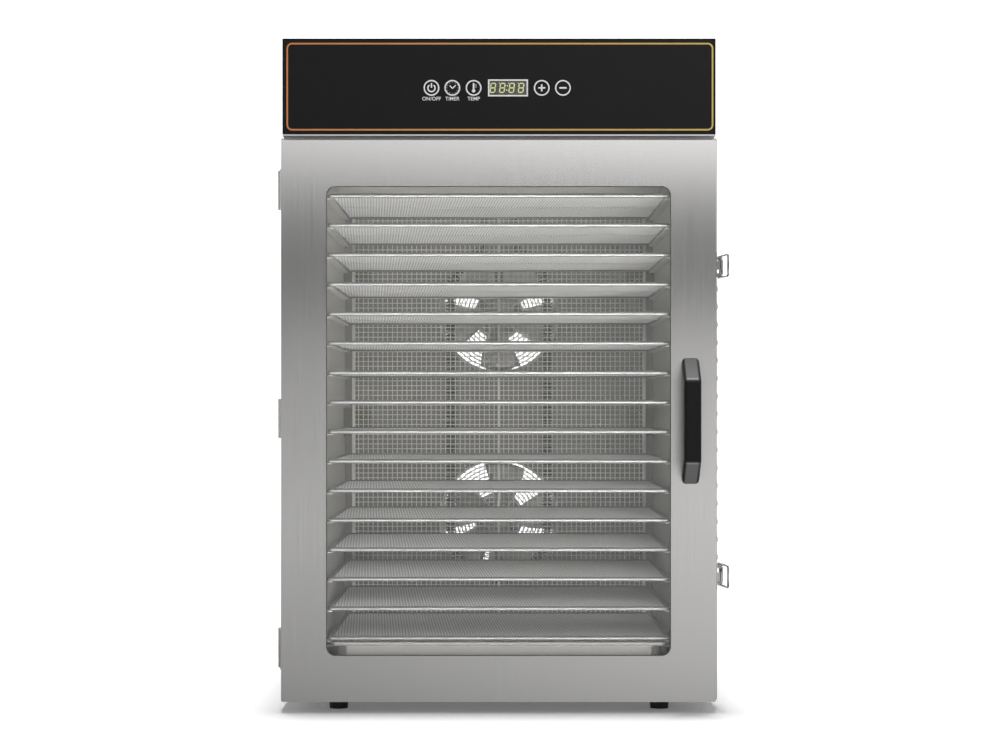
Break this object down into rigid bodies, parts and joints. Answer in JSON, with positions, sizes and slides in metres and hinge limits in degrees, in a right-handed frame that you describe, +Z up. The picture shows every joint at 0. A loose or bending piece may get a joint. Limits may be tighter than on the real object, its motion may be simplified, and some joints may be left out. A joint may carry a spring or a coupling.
{
  "type": "food dehydrator",
  "caption": "Tall steel cabinet food dehydrator with a glass door, stacked mesh trays over a drip tray, twin rear fans and a black control panel on top.",
  "frame": {"origin": "on the floor, below the middle of the cabinet", "axes": "+Z up, -Y is the front with the door, +X to the right as seen from the front"},
  "size_m": [0.4542, 0.467, 0.675],
  "materials": {
    "cabinet_steel": "vertical brushed satin",
    "liner_steel": "fine satin",
    "guard_wire": "polished wire",
    "heater": "matt oxide",
    "motor_paint": "semi-gloss",
    "fan_metal": "satin",
    "panel_black": "satin gloss with printed outline",
    "display_glass": "tinted window",
    "key_black": "satin gloss with printed symbol",
    "door_steel": "vertical brushed satin",
    "door_inner_steel": "satin",
    "window_glass": "clear tempered",
    "seal": "matt",
    "handle_black": "satin",
    "hinge_steel": "satin",
    "latch_chrome": "polished",
    "foot_rubber": "matt",
    "inlet_plastic": "moulded",
    "pan_steel": "satin",
    "tray_mesh": "bright expanded metal"
  },
  "bodies": {
    "cabinet": {"base_panel": "cabinet_steel", "side_panel_left": "cabinet_steel", "side_panel_right": "cabinet_steel", "top_panel": "cabinet_steel", "rear_panel": "cabinet_steel", "front_frame": "cabinet_steel", "liner_left": "liner_steel", "liner_right": "liner_steel", "liner_top": "liner_steel", "liner_floor": "liner_steel", "fan_baffle": "liner_steel", "heat_guard": "guard_wire", "heater_loop": "heater", "fan_motor_upper": "motor_paint", "fan_motor_lower": "motor_paint", "control_housing": "cabinet_steel", "control_panel": "panel_black", "display_lens": "display_glass", "hinge_body_leaves": "hinge_steel", "hinge_pins": "hinge_steel", "latch_bases": "latch_chrome", "feet": "foot_rubber", "power_inlet": "inlet_plastic", "panel_screws": "hinge_steel"},
    "door": {"door_skin": "door_steel", "door_inner": "door_inner_steel", "door_glass": "window_glass", "door_gasket": "seal", "door_handle": "handle_black", "hinge_door_leaves": "hinge_steel", "latch_catches": "latch_chrome"},
    "fan_upper": {"fan_blades_upper": "fan_metal"},
    "fan_lower": {"fan_blades_lower": "fan_metal"},
    "drip_pan": {"drip_tray": "pan_steel"},
    "key_power_cap": {"key_power": "key_black"},
    "key_timer_cap": {"key_timer": "key_black"},
    "key_temp_cap": {"key_temp": "key_black"},
    "key_plus_cap": {"key_plus": "key_black"},
    "key_minus_cap": {"key_minus": "key_black"},
    "lever_upper": {"latch_lever_upper": "latch_chrome"},
    "bail_upper": {"latch_bail_upper": "latch_chrome"},
    "lever_lower": {"latch_lever_lower": "latch_chrome"},
    "bail_lower": {"latch_bail_lower": "latch_chrome"},
    "tray_01_body": {"tray_01": "tray_mesh"},
    "tray_02_body": {"tray_02": "tray_mesh"},
    "tray_03_body": {"tray_03": "tray_mesh"},
    "tray_04_body": {"tray_04": "tray_mesh"},
    "tray_05_body": {"tray_05": "tray_mesh"},
    "tray_06_body": {"tray_06": "tray_mesh"},
    "tray_07_body": {"tray_07": "tray_mesh"},
    "tray_08_body": {"tray_08": "tray_mesh"},
    "tray_09_body": {"tray_09": "tray_mesh"},
    "tray_10_body": {"tray_10": "tray_mesh"},
    "tray_11_body": {"tray_11": "tray_mesh"},
    "tray_12_body": {"tray_12": "tray_mesh"},
    "tray_13_body": {"tray_13": "tray_mesh"},
    "tray_14_body": {"tray_14": "tray_mesh"},
    "tray_15_body": {"tray_15": "tray_mesh"},
    "tray_16_body": {"tray_16": "tray_mesh"}
  },
  "joints": [
    {"name": "door_hinge", "type": "hinge", "parent": "cabinet", "child": "door", "pos_m": [-0.2208, -0.177, 0.292], "axis": [0, 0, -1], "range_deg": [0, 170]},
    {"name": "fan_upper_spin", "type": "hinge", "parent": "cabinet", "child": "fan_upper", "pos_m": [0, 0.1755, 0.413], "axis": [0, 1, 0], "continuous": true},
    {"name": "fan_lower_spin", "type": "hinge", "parent": "cabinet", "child": "fan_lower", "pos_m": [0, 0.1755, 0.1775], "axis": [0, 1, 0], "continuous": true},
    {"name": "key_power_press", "type": "slide", "parent": "cabinet", "child": "key_power_cap", "axis": [0, 1, 0], "range_m": [0, 0.0005], "stiffness_N_per_m": 1500, "springref_m": -0.0005},
    {"name": "key_timer_press", "type": "slide", "parent": "cabinet", "child": "key_timer_cap", "axis": [0, 1, 0], "range_m": [0, 0.0005], "stiffness_N_per_m": 1500, "springref_m": -0.0005},
    {"name": "key_temp_press", "type": "slide", "parent": "cabinet", "child": "key_temp_cap", "axis": [0, 1, 0], "range_m": [0, 0.0005], "stiffness_N_per_m": 1500, "springref_m": -0.0005},
    {"name": "key_plus_press", "type": "slide", "parent": "cabinet", "child": "key_plus_cap", "axis": [0, 1, 0], "range_m": [0, 0.0005], "stiffness_N_per_m": 1500, "springref_m": -0.0005},
    {"name": "key_minus_press", "type": "slide", "parent": "cabinet", "child": "key_minus_cap", "axis": [0, 1, 0], "range_m": [0, 0.0005], "stiffness_N_per_m": 1500, "springref_m": -0.0005},
    {"name": "latch_upper_lever", "type": "hinge", "parent": "cabinet", "child": "lever_upper", "pos_m": [0.2256, -0.1505, 0.4485], "axis": [0, 0, -1], "range_deg": [0, 150]},
    {"name": "latch_upper_bail", "type": "hinge", "parent": "lever_upper", "child": "bail_upper", "pos_m": [0.2243, -0.1425, 0.4485], "axis": [0, 0, -1], "range_deg": [-150, 0]},
    {"name": "latch_lower_lever", "type": "hinge", "parent": "cabinet", "child": "lever_lower", "pos_m": [0.2256, -0.1505, 0.1355], "axis": [0, 0, -1], "range_deg": [0, 150]},
    {"name": "latch_lower_bail", "type": "hinge", "parent": "lever_lower", "child": "bail_lower", "pos_m": [0.2243, -0.1425, 0.1355], "axis": [0, 0, -1], "range_deg": [-150, 0]},
    {"name": "drip_tray_slide", "type": "slide", "parent": "cabinet", "child": "drip_pan", "axis": [0, -1, 0], "range_m": [0, 0.018]},
    {"name": "tray_01_slide", "type": "slide", "parent": "cabinet", "child": "tray_01_body", "axis": [0, -1, 0], "range_m": [0, 0.018]},
    {"name": "tray_02_slide", "type": "slide", "parent": "cabinet", "child": "tray_02_body", "axis": [0, -1, 0], "range_m": [0, 0.018]},
    {"name": "tray_03_slide", "type": "slide", "parent": "cabinet", "child": "tray_03_body", "axis": [0, -1, 0], "range_m": [0, 0.018]},
    {"name": "tray_04_slide", "type": "slide", "parent": "cabinet", "child": "tray_04_body", "axis": [0, -1, 0], "range_m": [0, 0.018]},
    {"name": "tray_05_slide", "type": "slide", "parent": "cabinet", "child": "tray_05_body", "axis": [0, -1, 0], "range_m": [0, 0.018]},
    {"name": "tray_06_slide", "type": "slide", "parent": "cabinet", "child": "tray_06_body", "axis": [0, -1, 0], "range_m": [0, 0.018]},
    {"name": "tray_07_slide", "type": "slide", "parent": "cabinet", "child": "tray_07_body", "axis": [0, -1, 0], "range_m": [0, 0.018]},
    {"name": "tray_08_slide", "type": "slide", "parent": "cabinet", "child": "tray_08_body", "axis": [0, -1, 0], "range_m": [0, 0.018]},
    {"name": "tray_09_slide", "type": "slide", "parent": "cabinet", "child": "tray_09_body", "axis": [0, -1, 0], "range_m": [0, 0.018]},
    {"name": "tray_10_slide", "type": "slide", "parent": "cabinet", "child": "tray_10_body", "axis": [0, -1, 0], "range_m": [0, 0.018]},
    {"name": "tray_11_slide", "type": "slide", "parent": "cabinet", "child": "tray_11_body", "axis": [0, -1, 0], "range_m": [0, 0.018]},
    {"name": "tray_12_slide", "type": "slide", "parent": "cabinet", "child": "tray_12_body", "axis": [0, -1, 0], "range_m": [0, 0.018]},
    {"name": "tray_13_slide", "type": "slide", "parent": "cabinet", "child": "tray_13_body", "axis": [0, -1, 0], "range_m": [0, 0.018]},
    {"name": "tray_14_slide", "type": "slide", "parent": "cabinet", "child": "tray_14_body", "axis": [0, -1, 0], "range_m": [0, 0.018]},
    {"name": "tray_15_slide", "type": "slide", "parent": "cabinet", "child": "tray_15_body", "axis": [0, -1, 0], "range_m": [0, 0.018]},
    {"name": "tray_16_slide", "type": "slide", "parent": "cabinet", "child": "tray_16_body", "axis": [0, -1, 0], "range_m": [0, 0.018]}
  ],
  "couplings": [
    {"joint": "latch_upper_bail", "follows": "latch_upper_lever", "ratio": -1},
    {"joint": "latch_lower_bail", "follows": "latch_lower_lever", "ratio": -1}
  ]
}
